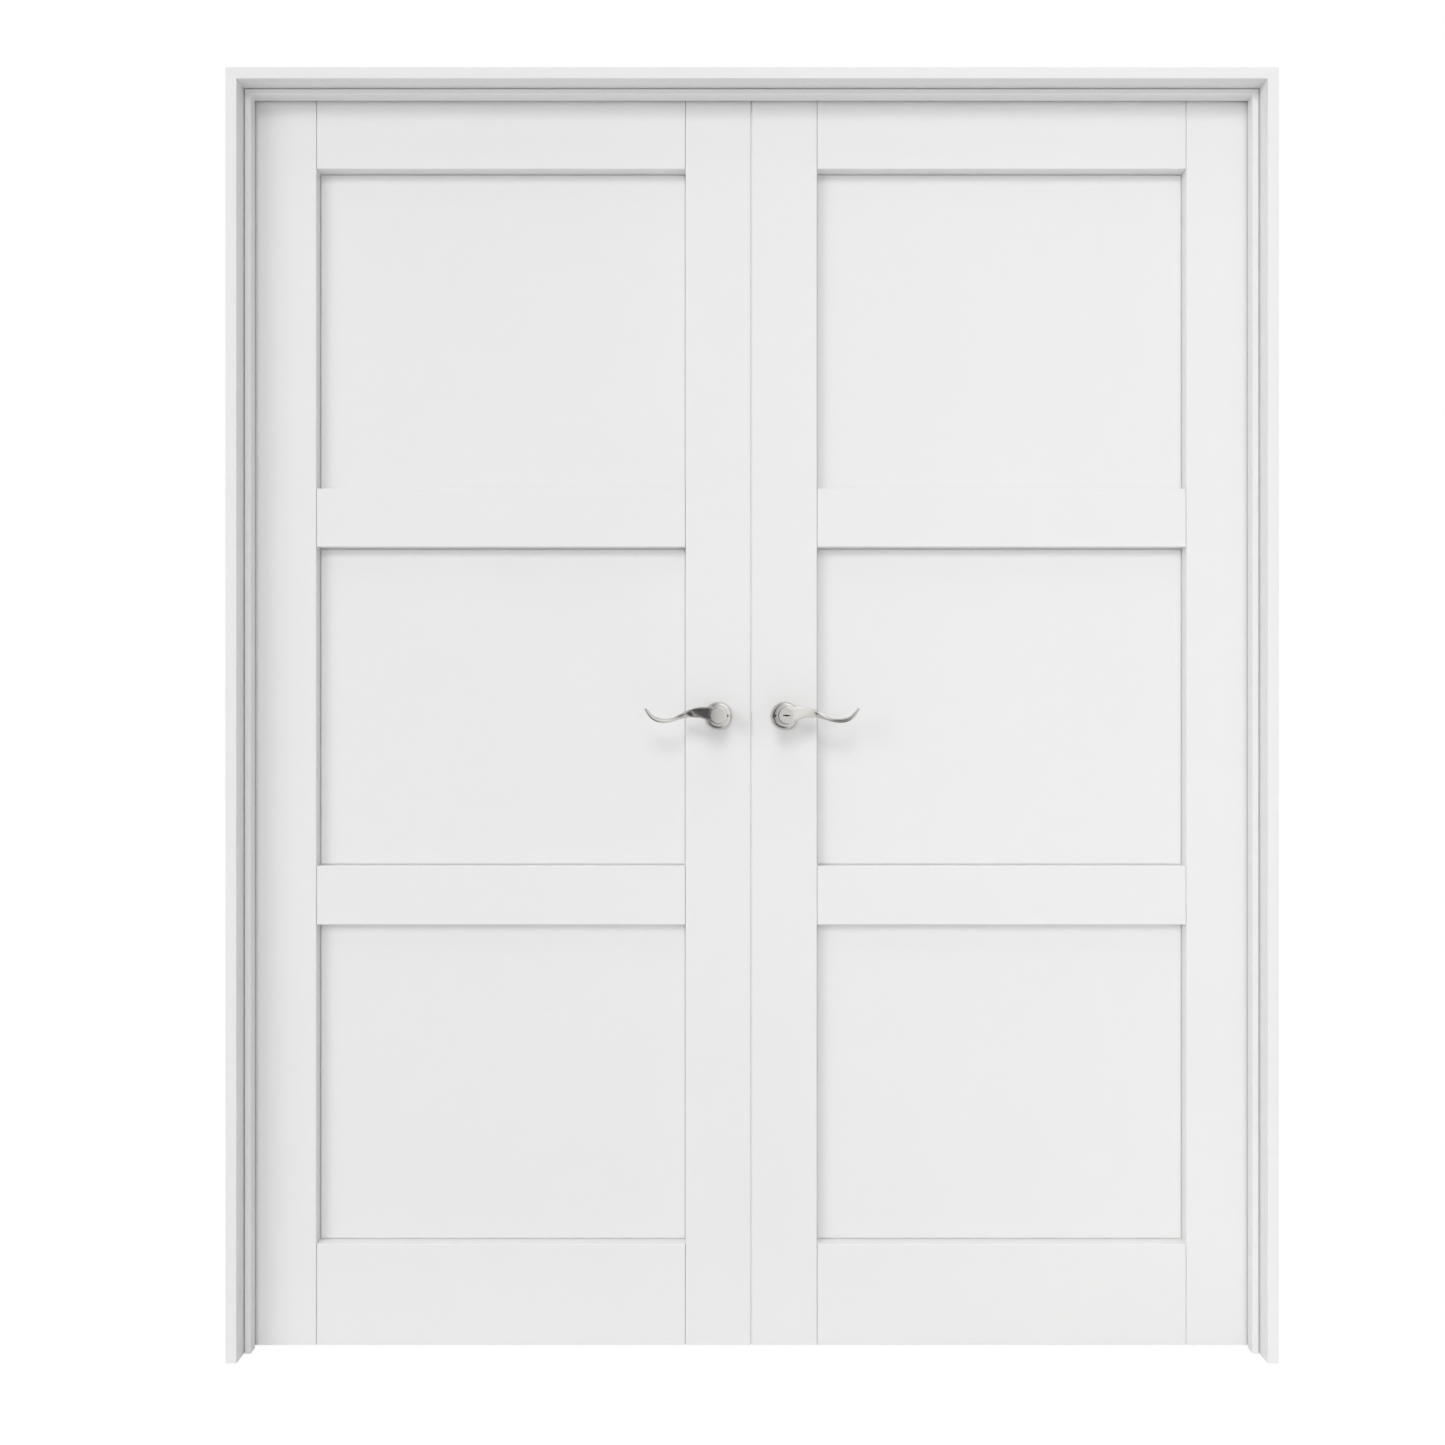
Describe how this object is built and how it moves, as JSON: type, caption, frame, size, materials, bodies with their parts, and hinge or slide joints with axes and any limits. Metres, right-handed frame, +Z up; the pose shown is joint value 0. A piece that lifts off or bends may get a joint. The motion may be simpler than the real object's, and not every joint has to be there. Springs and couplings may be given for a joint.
{
  "type": "french doors",
  "caption": "Hinged double doors with flat panels in a jamb frame, with stops, butt hinges, wave lever handles, a keyed latch and flush bolts.",
  "frame": {"origin": "on the floor, midway between the jambs, in the middle of the closed leaves' thickness", "axes": "+X to the right seen from the stop side, +Y towards the hinge side, where the leaves open, +Z up"},
  "size_m": [1.67, 0.1526, 2.0545],
  "materials": {
    "white_paint": "satin white paint on wood",
    "satin_nickel": "satin nickel plating",
    "bare_steel": "zinc plated steel",
    "beech": "bare beech dowel"
  },
  "bodies": {
    "frame": {"left_jamb": "white_paint", "right_jamb": "white_paint", "head_jamb": "white_paint", "left_stop": "white_paint", "right_stop": "white_paint", "head_stop": "white_paint", "corner_screws": "bare_steel", "head_strike": "satin_nickel", "left_jamb_hinges": "satin_nickel", "right_jamb_hinges": "satin_nickel", "left_hinge_pins": "satin_nickel", "right_hinge_pins": "satin_nickel", "frame_screws": "satin_nickel"},
    "left_leaf": {"left_hinge_stile": "white_paint", "left_meeting_stile": "white_paint", "left_top_rail": "white_paint", "left_upper_rail": "white_paint", "left_lower_rail": "white_paint", "left_bottom_rail": "white_paint", "left_top_panel": "white_paint", "left_middle_panel": "white_paint", "left_bottom_panel": "white_paint", "left_dowels": "beech", "left_leaf_hinges": "satin_nickel", "left_leaf_screws": "satin_nickel", "left_front_rose": "satin_nickel", "left_back_rose": "satin_nickel", "left_front_lever": "satin_nickel", "left_back_lever": "satin_nickel", "left_rose_bolts": "bare_steel", "strike_plate": "satin_nickel", "top_bolt_plate": "satin_nickel", "bottom_bolt_plate": "satin_nickel"},
    "right_leaf": {"right_hinge_stile": "white_paint", "right_meeting_stile": "white_paint", "right_top_rail": "white_paint", "right_upper_rail": "white_paint", "right_lower_rail": "white_paint", "right_bottom_rail": "white_paint", "right_top_panel": "white_paint", "right_middle_panel": "white_paint", "right_bottom_panel": "white_paint", "right_dowels": "beech", "right_leaf_hinges": "satin_nickel", "right_leaf_screws": "satin_nickel", "right_front_rose": "satin_nickel", "right_back_rose": "satin_nickel", "right_rose_bolts": "bare_steel", "latch_case": "bare_steel", "latch_plate": "satin_nickel"},
    "lever_set": {"right_front_lever": "satin_nickel", "right_back_lever": "satin_nickel", "spindle": "bare_steel", "key_cylinder": "satin_nickel", "latch_follower": "bare_steel"},
    "key_plug": {"key_plug": "satin_nickel"},
    "turn_button": {"turn_button": "satin_nickel"},
    "latch_bolt": {"latch_bolt": "satin_nickel"},
    "top_bolt": {"top_bolt": "satin_nickel"},
    "bottom_bolt": {"bottom_bolt": "satin_nickel"}
  },
  "joints": [
    {"name": "left_swing", "type": "hinge", "parent": "frame", "child": "left_leaf", "pos_m": [-0.816, 0.02945, 0], "axis": [0, 0, 1], "range_deg": [0, 170]},
    {"name": "right_swing", "type": "hinge", "parent": "frame", "child": "right_leaf", "pos_m": [0.816, 0.02945, 0], "axis": [0, 0, -1], "range_deg": [0, 170]},
    {"name": "lever_turn", "type": "hinge", "parent": "right_leaf", "child": "lever_set", "pos_m": [0.054, 0, 1.027], "axis": [0, 1, 0], "range_deg": [0, 45], "stiffness_Nm_per_rad": 1, "springref_deg": -22.92},
    {"name": "key_turn", "type": "hinge", "parent": "lever_set", "child": "key_plug", "pos_m": [0.054, 0, 1.027], "axis": [0, 1, 0], "range_deg": [0, 90]},
    {"name": "button_turn", "type": "hinge", "parent": "lever_set", "child": "turn_button", "pos_m": [0.054, 0, 1.027], "axis": [0, 1, 0], "range_deg": [0, 90]},
    {"name": "latch_slide", "type": "slide", "parent": "right_leaf", "child": "latch_bolt", "axis": [1, 0, 0], "range_m": [0, 0.011]},
    {"name": "top_bolt_slide", "type": "slide", "parent": "left_leaf", "child": "top_bolt", "axis": [0, 0, 1], "range_m": [0, 0.014]},
    {"name": "bottom_bolt_slide", "type": "slide", "parent": "left_leaf", "child": "bottom_bolt", "axis": [0, 0, -1], "range_m": [0, 0.014]}
  ],
  "couplings": [
    {"joint": "latch_slide", "follows": "lever_turn", "m_per_rad": 0.014}
  ]
}
